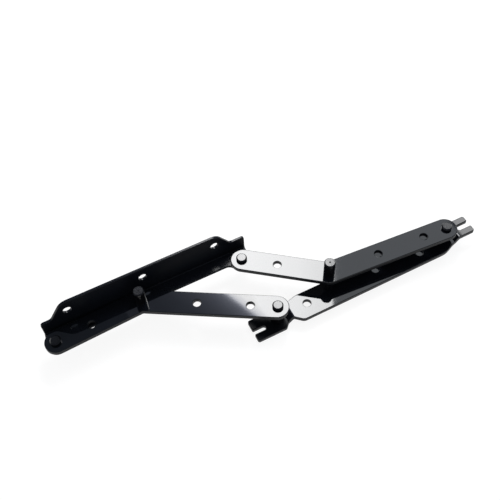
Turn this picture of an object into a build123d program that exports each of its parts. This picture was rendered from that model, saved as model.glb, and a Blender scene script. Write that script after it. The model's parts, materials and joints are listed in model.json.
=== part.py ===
from build123d import *
import os
from math import acos, atan2, cos, degrees, hypot, radians, sin, sqrt, tan

# Sofa bed hinge: two bent links between a base bracket and a seat bracket, lying flat.
# +X runs along both brackets, +Y from the base bracket to the seat bracket, +Z up.
# Lengths are in millimetres and angles in degrees.

# Linkage. The rest angle lies between the brackets and the line through a link's two pivots.
pivot_spacing = 200.0
short_arm = 90.0
long_arm = 136.0
elbow_turn = 34.0
rest_angle = 162.0

# Links, pressed from strip. Holes are placed from the elbow.
link_width = 25.0
link_thickness = 5.0
link_end_distance = 11.3
elbow_inner_radius = 4.0
spare_hole_radius = 4.2
short_arm_hole = 53.0
long_arm_holes = [56.0, 109.0]

# Layers at the pivots
running_clearance = 0.05
washer_thickness = 1.0
washer_radius = 8.0
right_spacer_height = 11.0
spacer_radius = 6.5
tail_washer_radius = 6.7
ring_chamfer = 0.25

# Pivot rivets
shank_radius = 4.0
rivet_head_radius = 5.5
rivet_head_height = 3.8
rivet_head_chamfer = 1.2
tail_radius = 5.6
tail_height = 2.5
tail_round = 1.6

# Spring posts in the elbows. The groove's drop is from the post's top to the groove's lower side.
post_radius = 5.75
post_height = 18.0
post_chamfer = 1.0
groove_drop = 4.8
groove_width = 1.4
groove_depth = 0.5
centre_mark_radius = 0.9
centre_mark_depth = 0.6
flush_tail_radius = 5.2
flush_tail_depth = 1.2

# Base bracket. Edges and the fork's sides are measured from the line through its pivots.
base_thickness = 5.0
base_far_edge = 12.3
base_near_edge = 16.7
middle_far_edge = 21.0
middle_start = 60.0
middle_end = 196.0
middle_radius = 6.0
base_hole_x = 32.5
base_hole_y = -1.5
joggle_clearance = 0.7
joggle_run = 4.5
joggle_inner_radius = 1.0
shoulder_end = 26.0
shoulder_radius = 12.0
neck_start = 21.5
near_shoulder_radius = 7.0
neck_floor_start = 13.0
neck_floor_end = 8.0
neck_far_edge = 9.0
neck_near_edge = 8.8
neck_radius = 4.0
pad_end = 3.0
pad_corner_radius = 3.0

# Its forks. Reach is past the pivot, and a slot's depth is from the prongs' tips.
left_fork_reach = 29.0
left_fork_far = 11.0
left_fork_near = 14.0
left_slot_width = 5.0
left_slot_depth = 13.5
left_slot_y = -3.2
right_fork_reach = 32.0
right_fork_far = 11.0
right_fork_near = 10.0
right_slot_width = 6.5
right_slot_depth = 15.5
right_slot_y = 0.5
far_taper_start = 4.0
far_taper_end = 16.0
far_taper_radius = 20.0
near_taper_half = 8.0
near_taper_radius = 25.0
prong_corner_radius = 2.0
slot_mouth_radius = 1.0

# Seat bracket. Heights are above the flange's underside.
seat_thickness = 3.0
seat_lug_radius = 10.0
left_stub_reach = 7.0
right_stub_reach = 12.0
flange_edge = 3.0
lug_neck_radius = 7.5
wall_clearance = 0.5
wall_height = 39.0
stub_height = 19.2
wall_slope = 55.0
slope_foot = 3.5
slope_foot_radius = 5.0
wall_shoulder_radius = 12.5
stub_corner_radius = 3.0
bend_inner_radius = 1.0
screw_hole_radius = 4.25
screw_hole_pitch = 78.5
screw_hole_height = 25.5

# Sheared edges and hole rims
edge_round = 0.7
rim_chamfer = 0.35

# Heights above the underside of the base bracket's middle. Its left fork lies one thickness lower.
left_pad_base = -base_thickness
flange_top = base_thickness + right_spacer_height
flange_base = flange_top - seat_thickness
link_base = flange_top + washer_thickness
link_top = link_base + link_thickness

# Places in plan, measured from the base bracket's left pivot
bore_radius = shank_radius + running_clearance
turn = radians(elbow_turn)
pivot_line = sqrt(short_arm**2 + long_arm**2 + 2 * short_arm * long_arm * cos(turn))
elbow_offset = degrees(acos((long_arm + short_arm * cos(turn)) / pivot_line))
far_link_angle = rest_angle - elbow_offset
near_link_angle = rest_angle + elbow_offset
base_left = Vector(0, 0)
base_right = Vector(pivot_spacing, 0)
seat_left = Vector(pivot_line, 0).rotate(Axis.Z, rest_angle)
seat_right = seat_left + base_right
far_elbow = Vector(long_arm, 0).rotate(Axis.Z, far_link_angle)
near_elbow = base_right + Vector(long_arm, 0).rotate(Axis.Z, near_link_angle)

# The wall stands just clear of the elbows, which come nearest to it at both ends of the fold
elbow_rise = (far_elbow - seat_left).Y
wall_distance = elbow_rise + link_width / 2 + wall_clearance
fold_angle = 2 * (rest_angle - 90)

on_floor = (Align.CENTER, Align.CENTER, Align.MIN)
hanging = (Align.CENTER, Align.CENTER, Align.MAX)


def nearest_vertex(shape, x, y):
    """The corner of a flat outline that lies nearest to a point."""
    return shape.vertices().sort_by_distance((x, y, 0))[0]


def rounded_outline(corners):
    """A face with straight sides between corners, each given as x, y and its radius."""
    face = make_face(Polyline(*[(x, y) for x, y, _ in corners], close=True))
    for x, y, radius in corners:
        if radius > 0:
            face = fillet(nearest_vertex(face, x, y), radius)
    return face


def ring(outer_radius, height):
    """Washer or bush that fits round a rivet's shank, with broken outer edges."""
    blank = extrude(Circle(outer_radius) - Circle(bore_radius), height)
    rims = blank.edges().filter_by(GeomType.CIRCLE).group_by(SortBy.RADIUS)[-1]
    return chamfer(rims, ring_chamfer)


def pivot_rivet(tail_seat):
    """Headed pin: head on the link, shank down through the stack, peened tail under the tail seat."""
    head = Cylinder(rivet_head_radius, rivet_head_height, align=on_floor)
    head = chamfer(head.edges().group_by(Axis.Z)[-1], rivet_head_chamfer)
    shank_length = link_top - tail_seat
    shank = Cylinder(shank_radius, shank_length, align=hanging)
    tail = Cylinder(tail_radius, tail_height, align=hanging)
    tail = fillet(tail.edges().group_by(Axis.Z)[0], tail_round)
    return Pos(0, 0, link_top) * (head + shank + Pos(0, 0, -shank_length) * tail)


def spring_post():
    """Grooved post on a link's elbow, riveted flush into the link's underside."""
    above = Cylinder(post_radius, post_height, align=on_floor)
    above = chamfer(above.edges().group_by(Axis.Z)[-1], post_chamfer)
    groove = extrude(Circle(post_radius + groove_depth) - Circle(post_radius - groove_depth), groove_width)
    above -= Pos(0, 0, post_height - groove_drop) * groove
    above -= Pos(0, 0, post_height) * Cone(0, centre_mark_radius, centre_mark_depth, align=hanging)
    shank = Cylinder(shank_radius, link_thickness, align=hanging)
    flare = Cone(flush_tail_radius, shank_radius, flush_tail_depth, align=on_floor)
    return Pos(0, 0, link_top) * (above + shank + Pos(0, 0, -link_thickness) * flare)


def round_hole(thickness, radius):
    """Cutter for a through hole whose two rims are chamfered."""
    rim = Cone(radius + rim_chamfer, radius, rim_chamfer, align=on_floor)
    top_rim = Pos(0, 0, thickness) * Rot(180, 0, 0) * rim
    return extrude(Circle(radius), thickness) + rim + top_rim


def arm_outline(start, end):
    """Strip with round ends between two points."""
    arm = end - start
    middle = start + arm * 0.5
    angle = degrees(atan2(arm.Y, arm.X))
    return Pos(middle.X, middle.Y) * Rot(0, 0, angle) * SlotCenterToCenter(arm.length, link_width)


def link_outline(elbow, short_way, turn_side):
    """The two arms in plan, with the inside of the elbow rounded. The round ends lie just past the pivots."""
    inset = link_width / 2 - link_end_distance
    long_end = Vector(inset, 0)
    short_end = elbow + short_way * (short_arm - inset)
    outline = arm_outline(long_end, elbow) + arm_outline(elbow, short_end)
    half_turn = turn_side * elbow_turn / 2
    inside = Vector(0, turn_side * link_width / 2 / cos(turn / 2)).rotate(Axis.Z, half_turn)
    corner = elbow + inside
    return fillet(nearest_vertex(outline, corner.X, corner.Y), elbow_inner_radius)


def link(turn_side):
    """Bent link with its base pivot at the origin and its long arm along +X; it bends to turn_side."""
    elbow = Vector(long_arm, 0)
    short_way = Vector(1, 0).rotate(Axis.Z, turn_side * elbow_turn)
    seat_pivot = elbow + short_way * short_arm
    blank = extrude(link_outline(elbow, short_way, turn_side), link_thickness)
    blank = fillet(blank.faces().filter_by(Axis.Z).edges(), edge_round)
    for pivot in (Vector(0, 0), elbow, seat_pivot):
        blank -= Pos(pivot.X, pivot.Y) * extrude(Circle(bore_radius), link_thickness)
    spare = [elbow - Vector(distance, 0) for distance in long_arm_holes]
    spare.append(elbow + short_way * short_arm_hole)
    for place in spare:
        blank -= Pos(place.X, place.Y) * round_hole(link_thickness, spare_hole_radius)
    flare_seat = Cone(flush_tail_radius + running_clearance, bore_radius, flush_tail_depth, align=on_floor)
    return blank - Pos(elbow.X, elbow.Y) * flare_seat


def pivot_holes(bottom, top):
    """Cutter for a bracket's two pivot holes, between two heights."""
    hole = Pos(0, 0, bottom) * extrude(Circle(bore_radius), top - bottom)
    return hole + Pos(pivot_spacing, 0) * hole


def round_sheared_edges(blank, is_skin):
    """Rounds the rims of a pressed sheet's faces and leaves the bend lines between those faces."""
    skin = [face for face in blank.faces() if is_skin(face)]
    skin_edges = [edge for face in skin for edge in face.edges()]
    rims = [edge for edge in blank.edges() if sum(edge.is_same(other) for other in skin_edges) == 1]
    return fillet(rims, edge_round)


def is_base_skin(face):
    """True for the strip's upper and under faces, joggles included."""
    return not faces_along(face, "Z", 0)


def is_seat_skin(face):
    """True for both sides of the flange, the bend and the wall."""
    centre = face.center()
    slanted = not faces_along(face, "Y", 0) and not faces_along(face, "Z", 0)
    on_bend = slanted and centre.Z < stub_height / 2
    on_flange = faces_along(face, "Z", 1) and centre.Z < seat_thickness + edge_round
    on_wall = faces_along(face, "Y", 1) and centre.Y > wall_distance - edge_round
    return on_bend or on_flange or on_wall


def faces_along(face, axis, amount):
    """Whether a face's normal has that amount, 0 or 1, of one axis."""
    return abs(abs(getattr(face.normal_at(), axis)) - amount) < 0.05


def fork_slot(tip, depth, width, y):
    """Round-ended slot that runs out past the fork's tips, on the side where the tips are."""
    side = 1 if tip > 0 else -1
    length = depth + 2 * width
    centre = tip + side * (length / 2 - depth)
    return Pos(centre, y) * SlotOverall(length, width)


def base_outline():
    """The base bracket in plan: from the left fork along the far edge and back along the near one."""
    left_tip = -left_fork_reach
    right_tip = pivot_spacing + right_fork_reach
    middle_rise = middle_far_edge - base_far_edge
    plan = rounded_outline([
        (left_tip, left_fork_far, prong_corner_radius),
        (pad_end, left_fork_far, pad_corner_radius),
        (neck_floor_end, neck_far_edge, neck_radius),
        (neck_floor_start, neck_far_edge, shoulder_radius),
        (shoulder_end, base_far_edge, shoulder_radius),
        (middle_start, base_far_edge, middle_radius),
        (middle_start + middle_rise, middle_far_edge, middle_radius),
        (middle_end - middle_rise, middle_far_edge, middle_radius),
        (middle_end, base_far_edge, middle_radius),
        (pivot_spacing + far_taper_start, base_far_edge, far_taper_radius),
        (pivot_spacing + far_taper_end, right_fork_far, far_taper_radius),
        (right_tip, right_fork_far, prong_corner_radius),
        (right_tip, -right_fork_near, prong_corner_radius),
        (pivot_spacing + near_taper_half, -right_fork_near, near_taper_radius),
        (pivot_spacing - near_taper_half, -base_near_edge, near_taper_radius),
        (neck_start, -base_near_edge, near_shoulder_radius),
        (neck_floor_start, -neck_near_edge, neck_radius),
        (neck_floor_end, -neck_near_edge, neck_radius),
        (pad_end, -left_fork_near, pad_corner_radius),
        (left_tip, -left_fork_near, prong_corner_radius),
    ])
    slots = (
        (left_tip, left_slot_depth, left_slot_width, left_slot_y),
        (right_tip, right_slot_depth, right_slot_width, right_slot_y),
    )
    for tip, depth, width, y in slots:
        plan -= fork_slot(tip, depth, width, y)
        for mouth_y in (y - width / 2, y + width / 2):
            plan = fillet(nearest_vertex(plan, tip, mouth_y), slot_mouth_radius)
    return plan


def base_side_profile():
    """The strip from the side, as a wide bar: joggled down before its left pivot, up past its right one."""
    half_bend_tangent = (hypot(joggle_run, base_thickness) - joggle_run) / base_thickness
    under_shift = base_thickness * half_bend_tangent
    outer_radius = joggle_inner_radius + base_thickness
    left_low = spacer_radius + joggle_clearance
    left_high = left_low + joggle_run
    right_low = pivot_spacing + spacer_radius + joggle_clearance
    right_high = right_low + joggle_run
    left_end = -left_fork_reach - base_thickness
    right_end = pivot_spacing + right_fork_reach + base_thickness
    top = base_thickness
    profile = rounded_outline([
        (left_end, 0, 0),
        (left_low, 0, joggle_inner_radius),
        (left_high, top, outer_radius),
        (right_low, top, joggle_inner_radius),
        (right_high, 2 * top, outer_radius),
        (right_end, 2 * top, 0),
        (right_end, top, 0),
        (right_high + under_shift, top, joggle_inner_radius),
        (right_low + under_shift, 0, outer_radius),
        (left_high + under_shift, 0, joggle_inner_radius),
        (left_low + under_shift, -top, outer_radius),
        (left_end, -top, 0),
    ])
    return extrude(Plane.XZ * profile, middle_far_edge + base_near_edge, both=True)


def base_bracket():
    """Flat strip with a fork at each end; a necked joggle carries the left pivot and fork lower."""
    blank = extrude(base_outline(), 3 * base_thickness, both=True) & base_side_profile()
    blank = round_sheared_edges(blank, is_base_skin)
    blank -= Pos(base_hole_x, base_hole_y) * round_hole(base_thickness, spare_hole_radius)
    return blank - pivot_holes(left_pad_base, base_thickness)


def seat_outline(left_end, right_end, wall_outer):
    """The seat bracket in plan: a strip under the wall with a round lug at each pivot."""
    strip = Rectangle(pivot_spacing, wall_outer - flange_edge, align=(Align.MIN, Align.MIN))
    plan = Pos(0, flange_edge) * strip
    for x, end in ((0, left_end), (pivot_spacing, right_end)):
        side = 1 if end > x else -1
        outward = atan2(wall_outer, abs(end - x)) - acos(seat_lug_radius / hypot(end - x, wall_outer))
        leave = (x + side * seat_lug_radius * cos(outward), seat_lug_radius * sin(outward))
        plan += Pos(x, 0) * Circle(seat_lug_radius)
        plan += make_face(Polyline((x, 0), leave, (end, wall_outer), (x, wall_outer), close=True))
    neck_x = sqrt(seat_lug_radius**2 - flange_edge**2)
    for x in (neck_x, pivot_spacing - neck_x):
        plan = fillet(nearest_vertex(plan, x, flange_edge), lug_neck_radius)
    return plan


def wall_outline():
    """The seat bracket from the front: a high middle that slopes down to a stub past each pivot."""
    slope_top = slope_foot + (wall_height - stub_height) / tan(radians(wall_slope))
    left_limit = -2 * seat_lug_radius
    right_limit = pivot_spacing + 2 * seat_lug_radius
    return rounded_outline([
        (left_limit, 0, 0),
        (left_limit, stub_height, 0),
        (slope_foot, stub_height, slope_foot_radius),
        (slope_top, wall_height, wall_shoulder_radius),
        (pivot_spacing - slope_top, wall_height, wall_shoulder_radius),
        (pivot_spacing - slope_foot, stub_height, slope_foot_radius),
        (right_limit, stub_height, 0),
        (right_limit, 0, 0),
    ])


def angle_section(wall_outer):
    """The bent sheet's section across the brackets, larger than the piece that is cut from it."""
    near_limit = -2 * seat_lug_radius
    top_limit = 2 * wall_height
    return rounded_outline([
        (near_limit, 0, 0),
        (wall_outer, 0, bend_inner_radius + seat_thickness),
        (wall_outer, top_limit, 0),
        (wall_distance, top_limit, 0),
        (wall_distance, seat_thickness, bend_inner_radius),
        (near_limit, seat_thickness, 0),
    ])


def seat_bracket():
    """Pressed angle with its left pivot at the origin: lugged flange, bend and upright wall."""
    left_end = -left_stub_reach
    right_end = pivot_spacing + right_stub_reach
    wall_outer = wall_distance + seat_thickness
    bar = extrude(Plane.YZ * angle_section(wall_outer), 2 * pivot_spacing, both=True)
    plan_block = extrude(seat_outline(left_end, right_end, wall_outer), wall_height)
    front_block = extrude(Plane.XZ * wall_outline(), 2 * wall_outer, both=True)
    blank = bar & plan_block & front_block
    for end in (left_end, right_end):
        stub_corner = blank.edges().sort_by_distance((end, wall_outer - seat_thickness / 2, stub_height))[0]
        blank = fillet(stub_corner, stub_corner_radius)
    blank = round_sheared_edges(blank, is_seat_skin)
    blank -= pivot_holes(0, seat_thickness)
    screw_hole = Plane.XZ * round_hole(seat_thickness, screw_hole_radius)
    for step in (-1, 0, 1):
        blank -= Pos(pivot_spacing / 2 + step * screw_hole_pitch, wall_outer, screw_hole_height) * screw_hole
    return blank


def link_pieces():
    """The two links with the spring posts in their elbows."""
    return {
        "far_link": Pos(0, 0, link_base) * Rot(0, 0, far_link_angle) * link(1),
        "near_link": Pos(pivot_spacing, 0, link_base) * Rot(0, 0, near_link_angle) * link(-1),
        "far_link_spring_post": Pos(far_elbow) * spring_post(),
        "near_link_spring_post": Pos(near_elbow) * spring_post(),
    }


def pivot_pieces():
    """Each pivot's rivet, washers and, on the base bracket, the spacer that carries the link."""
    washer = Pos(0, 0, flange_top) * ring(washer_radius, washer_thickness)
    tail_washer = ring(tail_washer_radius, washer_thickness)
    made = {}
    pivots = (
        ("base_left", base_left, left_pad_base),
        ("base_right", base_right, 0),
        ("seat_left", seat_left, flange_base),
        ("seat_right", seat_right, flange_base),
    )
    for name, place, bracket_base in pivots:
        tail_seat = bracket_base - washer_thickness
        made[name + "_rivet"] = Pos(place) * pivot_rivet(tail_seat)
        made[name + "_washer"] = Pos(place) * washer
        made[name + "_tail_washer"] = Pos(place) * Pos(0, 0, tail_seat) * tail_washer
    for name, place, bracket_base in pivots[:2]:
        seat = bracket_base + base_thickness
        made[name + "_spacer"] = Pos(place) * Pos(0, 0, seat) * ring(spacer_radius, flange_top - seat)
    return made


pieces = {
    "base_bracket": base_bracket(),
    "seat_bracket": Pos(seat_left) * Pos(0, 0, flange_base) * seat_bracket(),
    **link_pieces(),
    **pivot_pieces(),
}

# The origin is the middle of the part in plan, at the height of its lowest point
boxes = [piece.bounding_box() for piece in pieces.values()]
low_x, high_x = min(box.min.X for box in boxes), max(box.max.X for box in boxes)
low_y, high_y = min(box.min.Y for box in boxes), max(box.max.Y for box in boxes)
low_z = min(box.min.Z for box in boxes)
to_origin = Pos(-(low_x + high_x) / 2, -(low_y + high_y) / 2, -low_z)

os.makedirs("parts", exist_ok=True)
for name, piece in pieces.items():
    placed = to_origin * piece
    placed.label = name
    export_step(placed, f"parts/{name}.step")

print("shift to the origin", to_origin.position)
print("base pivots", base_left, base_right)
print("seat pivots", seat_left, seat_right)
print("elbows", far_elbow, near_elbow)
print("wall distance", wall_distance, "fold", fold_angle)
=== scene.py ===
"""Looks of the sofa bed hinge: glossy black painted steel in a bright studio.

Everything is in metres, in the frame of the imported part: +X along both brackets, +Z up.
"""
import json
import math

import bpy
from mathutils import Matrix, Vector

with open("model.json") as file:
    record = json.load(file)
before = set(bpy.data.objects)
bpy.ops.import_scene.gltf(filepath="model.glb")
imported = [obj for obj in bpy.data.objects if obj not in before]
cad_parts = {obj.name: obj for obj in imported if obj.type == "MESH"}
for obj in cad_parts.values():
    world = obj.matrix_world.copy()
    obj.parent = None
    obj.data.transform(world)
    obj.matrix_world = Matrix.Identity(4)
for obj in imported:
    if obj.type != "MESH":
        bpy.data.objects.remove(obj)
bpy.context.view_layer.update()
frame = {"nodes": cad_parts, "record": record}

# Camera, matched to the photograph
IMAGE_WIDTH = 500
FOCAL_PIXELS = 728.1
SENSOR_WIDTH = 36.0
CAMERA_PLACE = Vector((-0.1790, -0.3533, 0.6479))
CAMERA_TURN = math.radians(24.52)
CAMERA_DIP = math.radians(55.14)
CAMERA_ROLL = math.radians(-3.29)

# Studio, in metres. The lamps hang level and are seen mirrored in the upper faces.
LAMP_HEIGHT = 0.7
SOFTBOX_LOW = Vector((-0.10, 0.12))
SOFTBOX_HIGH = Vector((0.42, 0.62))
SOFTBOX_RADIANCE = 18.6
SOFTBOX_DIM_TINT = (0.75, 0.80, 1.0)
# The softbox fades in across its left border and out towards its right one. A border's turn is that
# of its normal from +X, and its places are distances along that normal.
LEFT_BORDER_TURN = math.radians(22.0)
LEFT_FADE = [(0.130, 0.013), (0.162, 0.021), (0.192, 0.042), (0.210, 0.066), (0.226, 0.110), (0.234, 0.20),
             (0.241, 0.78), (0.255, 1.0)]
RIGHT_BORDER_TURN = math.radians(-30.0)
RIGHT_FADE = [(-0.06, 1.0), (0.04, 0.93), (0.08, 0.85), (0.1135, 0.82), (0.1150, 0.0)]
PANEL_RISE = 0.02
PANEL_LOW = Vector((0.15, 0.05))
PANEL_HIGH = Vector((0.625, 0.65))
PANEL_RADIANCE = 1.7
PANEL_COLOUR = (0.92, 0.96, 1.0)
END_LAMP_LOW = Vector((0.628, 0.15))
END_LAMP_HIGH = Vector((0.80, 0.45))
END_LAMP_RADIANCE = 6.0

# Surroundings: brightness in reflections by the height of the direction, and the even fill
OVERHEAD = (0.13, 0.15, 0.19)
HORIZON = [(0.02, 1.0), (0.12, OVERHEAD)]
SKY_FILL = 0.6
FILL_COLOUR = (0.97, 0.98, 1.0)

# Floor: its side in metres, what it scatters, and how bright it shows by itself
FLOOR_SIZE = 8.0
FLOOR_GREY = 0.16
FLOOR_GLOW = 0.88
WHITE = (1.0, 1.0, 1.0, 1.0)

# Paint, in metres. A dull line runs along edges and rims. The base strip's left fork grows dull from
# one place along X to the next.
PAINT_IOR = 1.5
FULL_GLOSS = 0.5
SIDE_SHINE = 0.3
EDGE_WIDTH = 0.0009
EDGE_STOPS = [(0.90, 1.0), (0.995, 0.0)]
EDGE_DULLNESS = 0.9
SIDE_STOPS = [(0.10, 1.0), (0.35, 0.0)]
# Patchy paler colour along edges and rims: worn paint and a painted edge highlight
WORN_AND_HIGHLIGHT_STOPS = [(0.40, 0.0), (0.70, 0.25)]
DULL_FROM_X = 0.006
DULL_TO_X = 0.001
CLOUD_SCALE = 60.0
GRAIN_SCALE = 700.0
STREAK_SCALE = 900.0
STREAK_STRETCH = (0.05, 1, 1)
NOISE_ROUGHNESS = 0.55
FINE_DETAIL = 2.0
PEEL_DEPTH = 0.0002
STREAK_DEPTH = 0.0001
EVEN = (1, 1, 1)
STREAK_SHARE = 0.5
UNEVEN_NOISE = (0.3, 1.2)
UNEVEN_ROUGHNESS = (0.8, 1.25)

# One finish for each material slot of the record, and two more for the brackets
SHEET = {
    "dark": "080a0e",
    "light": "0b0d12",
    "worn_and_highlight": "3a3d42",
    "roughness": 0.04,
    "side_roughness": 0.40,
    "peel": 0.01,
    "streak": 0.01,
}
FINISHES = {
    "painted_sheet": SHEET,
    "painted_base": {**SHEET, "dull_fork": True},
    "angle_paint_with_painted_light": {
        # Base colours a little lighter than the sheet's: painted light, so the flange shows the brighter
        # shade it gets under the softbox
        "dark": "0c0e14",
        "light": "0f1218",
        "worn_and_highlight": "3a3d42",
        "roughness": 0.24,
        "side_roughness": 0.5,
        "peel": 0.02,
        "streak": 0.01,
        "gloss": 0.2,
    },
    "painted_pins": {
        "dark": "08080a",
        "light": "0e0e11",
        "worn_and_highlight": "4a4c50",
        "roughness": 0.18,
        "side_roughness": 0.14,
        "peel": 0.03,
        "streak": 0.01,
    },
    "painted_rings": {
        "dark": "08080a",
        "light": "0c0c0f",
        "worn_and_highlight": "3a3d42",
        "roughness": 0.25,
        "side_roughness": 0.40,
        "peel": 0.04,
        "streak": 0.01,
    },
}
OWN_FINISHES = {"seat_bracket": "angle_paint_with_painted_light", "base_bracket": "painted_base"}


def linear(code):
    """Linear colour from a web colour such as 1a1d24."""
    shades = [int(code[i:i + 2], 16) / 255 for i in (0, 2, 4)]
    return tuple(s / 12.92 if s <= 0.04045 else ((s + 0.055) / 1.055) ** 2.4 for s in shades)


class Nodes:
    """Short way to build a node tree."""

    def __init__(self, tree):
        self.tree = tree
        tree.nodes.clear()

    def add(self, kind, settings=None, **inputs):
        """A new node: settings are its own properties, inputs are values or the sockets they come from."""
        node = self.tree.nodes.new(kind)
        for key, value in (settings or {}).items():
            setattr(node, key, value)
        for key, value in inputs.items():
            self.feed(node, key.replace("_", " "), value)
        return node

    def feed(self, node, key, value):
        """Sets an input socket by its name or number, or links another socket to it."""
        socket = node.inputs[key]
        if isinstance(value, bpy.types.NodeSocket):
            self.tree.links.new(value, socket)
        else:
            socket.default_value = value

    def math(self, operation, first, second=0.0):
        node = self.add("ShaderNodeMath", {"operation": operation})
        self.feed(node, 0, first)
        self.feed(node, 1, second)
        return node.outputs[0]

    def ramp(self, factor, stops):
        """Colour ramp from (place, grey or colour) pairs."""
        node = self.add("ShaderNodeValToRGB", Fac=factor)
        elements = node.color_ramp.elements
        while len(elements) < len(stops):
            elements.new(1.0)
        for element, (place, shade) in zip(elements, stops):
            colour = (shade,) * 3 if isinstance(shade, (int, float)) else shade
            element.position = place
            element.color = (*colour, 1.0)
        return node.outputs["Color"]

    def noise(self, stretch, scale, detail=3.0):
        """Noise in the part's own frame, stretched along an axis by a small number there."""
        place = self.add("ShaderNodeTexCoord").outputs["Object"]
        mapped = self.add("ShaderNodeMapping", Vector=place, Scale=stretch).outputs["Vector"]
        node = self.add(
            "ShaderNodeTexNoise", Vector=mapped, Scale=scale, Detail=detail, Roughness=NOISE_ROUGHNESS
        )
        return node.outputs["Fac"]


def edge_mask(nodes, radius):
    """White along edges and rims, black on flat faces."""
    rounded = nodes.add("ShaderNodeBevel", {"samples": 6}, Radius=radius).outputs["Normal"]
    true_normal = nodes.add("ShaderNodeNewGeometry").outputs["Normal"]
    agree = nodes.add("ShaderNodeVectorMath", {"operation": "DOT_PRODUCT"})
    nodes.feed(agree, 0, rounded)
    nodes.feed(agree, 1, true_normal)
    return nodes.ramp(agree.outputs["Value"], EDGE_STOPS)


def painted_steel(
    name, dark, light, worn_and_highlight, roughness, side_roughness, peel, streak, gloss=FULL_GLOSS, dull_fork=False
):
    """Gloss paint over pressed steel: slight orange peel, faint rolling streaks, duller sheared sides, and
    patchy paler edges that are worn paint and a painted edge highlight.
    """
    material = bpy.data.materials.new(name)
    material.use_nodes = True
    nodes = Nodes(material.node_tree)
    cloud = nodes.noise(EVEN, CLOUD_SCALE)
    rolling = nodes.noise(STREAK_STRETCH, STREAK_SCALE, detail=FINE_DETAIL)
    grain = nodes.noise(EVEN, GRAIN_SCALE, detail=FINE_DETAIL)
    colour = nodes.ramp(cloud, [(0.3, linear(dark)), (0.7, linear(light))])
    edge = edge_mask(nodes, EDGE_WIDTH)
    # Paler patches along edges and rims: worn paint and a painted highlight on the edges
    patchy_wear_and_highlight = nodes.math("MULTIPLY", edge, nodes.ramp(cloud, WORN_AND_HIGHLIGHT_STOPS))
    worn_and_highlight_colour = (*linear(worn_and_highlight), 1.0)
    tint = nodes.add("ShaderNodeMixRGB", Fac=patchy_wear_and_highlight, Color1=colour, Color2=worn_and_highlight_colour).outputs["Color"]
    facing = nodes.add("ShaderNodeSeparateXYZ", Vector=nodes.add("ShaderNodeTexCoord").outputs["Normal"])
    level = nodes.math("ABSOLUTE", facing.outputs["Z"])
    sheared = nodes.ramp(level, SIDE_STOPS)
    varied = nodes.add(
        "ShaderNodeMapRange",
        Value=nodes.math("ADD", cloud, nodes.math("MULTIPLY", rolling, STREAK_SHARE)),
        From_Min=UNEVEN_NOISE[0],
        From_Max=UNEVEN_NOISE[1],
        To_Min=UNEVEN_ROUGHNESS[0],
        To_Max=UNEVEN_ROUGHNESS[1],
    ).outputs["Result"]
    if dull_fork:
        place = nodes.add("ShaderNodeSeparateXYZ", Vector=nodes.add("ShaderNodeTexCoord").outputs["Object"])
        fork = nodes.add(
            "ShaderNodeMapRange", Value=place.outputs["X"], From_Min=DULL_FROM_X, From_Max=DULL_TO_X
        )
        sheared = nodes.math("MAXIMUM", sheared, fork.outputs["Result"])
    rough = nodes.add(
        "ShaderNodeMapRange",
        Value=sheared,
        To_Min=roughness,
        To_Max=side_roughness,
    ).outputs["Result"]
    dull = nodes.math("MAXIMUM", sheared, nodes.math("MULTIPLY", edge, EDGE_DULLNESS))
    shine = nodes.add("ShaderNodeMapRange", Value=dull, To_Min=gloss, To_Max=SIDE_SHINE * gloss)
    peel_bump = nodes.add("ShaderNodeBump", Height=grain, Strength=peel, Distance=PEEL_DEPTH)
    streak_bump = nodes.add(
        "ShaderNodeBump",
        Height=rolling,
        Strength=streak,
        Distance=STREAK_DEPTH,
        Normal=peel_bump.outputs["Normal"],
    )
    paint = nodes.add(
        "ShaderNodeBsdfPrincipled",
        Base_Color=tint,
        Roughness=nodes.math("MULTIPLY", rough, varied),
        IOR=PAINT_IOR,
        Specular_IOR_Level=shine.outputs["Result"],
        Normal=streak_bump.outputs["Normal"],
    )
    nodes.add("ShaderNodeOutputMaterial", Surface=paint.outputs["BSDF"])
    return material


def dress_nodes():
    """Gives every node of the part the finish of its slot, or its own one."""
    finishes = {name: painted_steel(name, **paint) for name, paint in FINISHES.items()}
    slots = {row["node"]: row["material_slot"] for row in frame["record"]["subparts"]}
    for name, piece in frame["nodes"].items():
        piece.data.materials.clear()
        piece.data.materials.append(finishes[OWN_FINISHES.get(name, slots[name])])


def seen_by_camera_or_gloss(nodes):
    """1 for rays that show the background: straight to the camera, in reflections and through glass."""
    path = nodes.add("ShaderNodeLightPath")
    seen = nodes.math("MAXIMUM", path.outputs["Is Camera Ray"], path.outputs["Is Glossy Ray"])
    return nodes.math("MAXIMUM", seen, path.outputs["Is Transmission Ray"])


def make_world():
    """White surroundings under a dark ceiling, and an even fill."""
    world = bpy.data.worlds.new("studio")
    world.use_nodes = True
    bpy.context.scene.world = world
    nodes = Nodes(world.node_tree)
    way = nodes.add("ShaderNodeTexCoord").outputs["Generated"]
    parts = nodes.add("ShaderNodeSeparateXYZ", Vector=way)
    reflected = nodes.ramp(parts.outputs["Z"], HORIZON)
    path = nodes.add("ShaderNodeLightPath")
    shown = nodes.add(
        "ShaderNodeMixRGB", Fac=path.outputs["Is Camera Ray"], Color1=reflected, Color2=WHITE
    ).outputs["Color"]
    fill = nodes.add("ShaderNodeBackground", Color=(*FILL_COLOUR, 1.0), Strength=SKY_FILL)
    white = nodes.add("ShaderNodeBackground", Color=shown, Strength=1.0)
    mixed = nodes.add("ShaderNodeMixShader", Fac=seen_by_camera_or_gloss(nodes))
    nodes.feed(mixed, 1, fill.outputs["Background"])
    nodes.feed(mixed, 2, white.outputs["Background"])
    nodes.add("ShaderNodeOutputWorld", Surface=mixed.outputs["Shader"])


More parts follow.
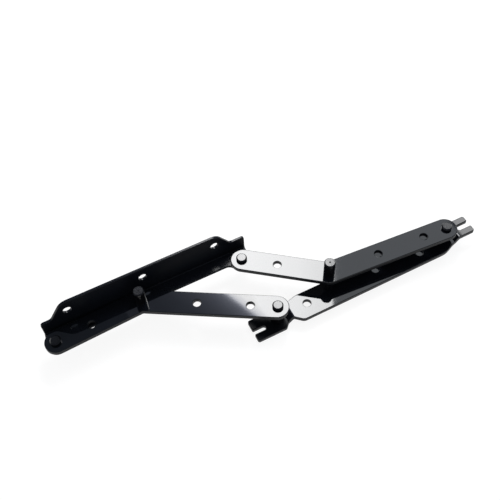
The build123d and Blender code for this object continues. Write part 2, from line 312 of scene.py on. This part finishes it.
def area_lamp(name, low, high, radiance, height=LAMP_HEIGHT):
    """Level rectangular lamp over a rectangle, of a given brightness."""
    lamp = bpy.data.lights.new(name, "AREA")
    lamp.shape = "RECTANGLE"
    lamp.size = high.x - low.x
    lamp.size_y = high.y - low.y
    lamp.energy = radiance * math.pi * lamp.size * lamp.size_y
    holder = bpy.data.objects.new(name, lamp)
    bpy.context.scene.collection.objects.link(holder)
    middle = (low + high) / 2
    holder.location = (middle.x, middle.y, height)
    holder.visible_camera = False
    return lamp


def border_fade(nodes, turn, stops):
    """Brightness across a lamp's border, from (distance along the border's normal, brightness) pairs."""
    place = nodes.add("ShaderNodeNewGeometry").outputs["Position"]
    along = nodes.add("ShaderNodeVectorMath", {"operation": "DOT_PRODUCT"})
    nodes.feed(along, 0, place)
    nodes.feed(along, 1, (math.cos(turn), math.sin(turn), 0.0))
    first, last = stops[0][0], stops[-1][0]
    share = nodes.add("ShaderNodeMapRange", Value=along.outputs["Value"], From_Min=first, From_Max=last)
    ramp = nodes.ramp(share.outputs["Result"], [((x - first) / (last - first), shade) for x, shade in stops])
    return nodes.add("ShaderNodeRGBToBW", Color=ramp).outputs["Val"]


def make_lamps():
    """A graded softbox over the middle, a dim panel to its right and a lamp past the right end."""
    softbox = area_lamp("softbox", SOFTBOX_LOW, SOFTBOX_HIGH, SOFTBOX_RADIANCE)
    softbox.use_nodes = True
    nodes = Nodes(softbox.node_tree)
    left = border_fade(nodes, LEFT_BORDER_TURN, LEFT_FADE)
    right = border_fade(nodes, RIGHT_BORDER_TURN, RIGHT_FADE)
    tint = nodes.add("ShaderNodeMixRGB", Fac=left, Color1=(*SOFTBOX_DIM_TINT, 1.0), Color2=WHITE)
    light = nodes.add(
        "ShaderNodeEmission",
        Color=tint.outputs["Color"],
        Strength=nodes.math("MULTIPLY", left, right),
    )
    nodes.add("ShaderNodeOutputLight", Surface=light.outputs["Emission"])
    panel = area_lamp("panel", PANEL_LOW, PANEL_HIGH, PANEL_RADIANCE, LAMP_HEIGHT + PANEL_RISE)
    panel.color = PANEL_COLOUR
    area_lamp("end_lamp", END_LAMP_LOW, END_LAMP_HIGH, END_LAMP_RADIANCE)


def make_floor():
    """White studio floor that keeps a faint shadow."""
    mesh = bpy.data.meshes.new("floor")
    half = FLOOR_SIZE / 2
    corners = [(-half, -half, 0), (half, -half, 0), (half, half, 0), (-half, half, 0)]
    mesh.from_pydata(corners, [], [(0, 1, 2, 3)])
    floor = bpy.data.objects.new("floor", mesh)
    bpy.context.scene.collection.objects.link(floor)
    material = bpy.data.materials.new("studio_floor")
    material.use_nodes = True
    nodes = Nodes(material.node_tree)
    matt = nodes.add("ShaderNodeBsdfDiffuse", Color=(FLOOR_GREY, FLOOR_GREY, FLOOR_GREY, 1.0))
    glow = nodes.add(
        "ShaderNodeEmission",
        Color=WHITE,
        Strength=nodes.math("MULTIPLY", seen_by_camera_or_gloss(nodes), FLOOR_GLOW),
    )
    both = nodes.add("ShaderNodeAddShader")
    nodes.feed(both, 0, matt.outputs["BSDF"])
    nodes.feed(both, 1, glow.outputs["Emission"])
    nodes.add("ShaderNodeOutputMaterial", Surface=both.outputs["Shader"])
    mesh.materials.append(material)


def make_camera():
    """Camera at the photograph's place, turned right of +Y, dipped and slightly rolled."""
    lens = bpy.data.cameras.new("camera")
    lens.sensor_width = SENSOR_WIDTH
    lens.lens = FOCAL_PIXELS / IMAGE_WIDTH * SENSOR_WIDTH
    camera = bpy.data.objects.new("camera", lens)
    bpy.context.scene.collection.objects.link(camera)
    forward = Vector((
        math.sin(CAMERA_TURN) * math.cos(CAMERA_DIP),
        math.cos(CAMERA_TURN) * math.cos(CAMERA_DIP),
        -math.sin(CAMERA_DIP),
    ))
    level = Vector((math.cos(CAMERA_TURN), -math.sin(CAMERA_TURN), 0))
    upward = level.cross(forward)
    right = level * math.cos(CAMERA_ROLL) + upward * math.sin(CAMERA_ROLL)
    up = upward * math.cos(CAMERA_ROLL) - level * math.sin(CAMERA_ROLL)
    turn = Matrix((right, up, -forward)).transposed()
    camera.matrix_world = Matrix.Translation(CAMERA_PLACE) @ turn.to_4x4()
    bpy.context.scene.camera = camera


dress_nodes()
make_world()
make_lamps()
make_floor()
make_camera()
bpy.context.scene.view_settings.view_transform = "Standard"
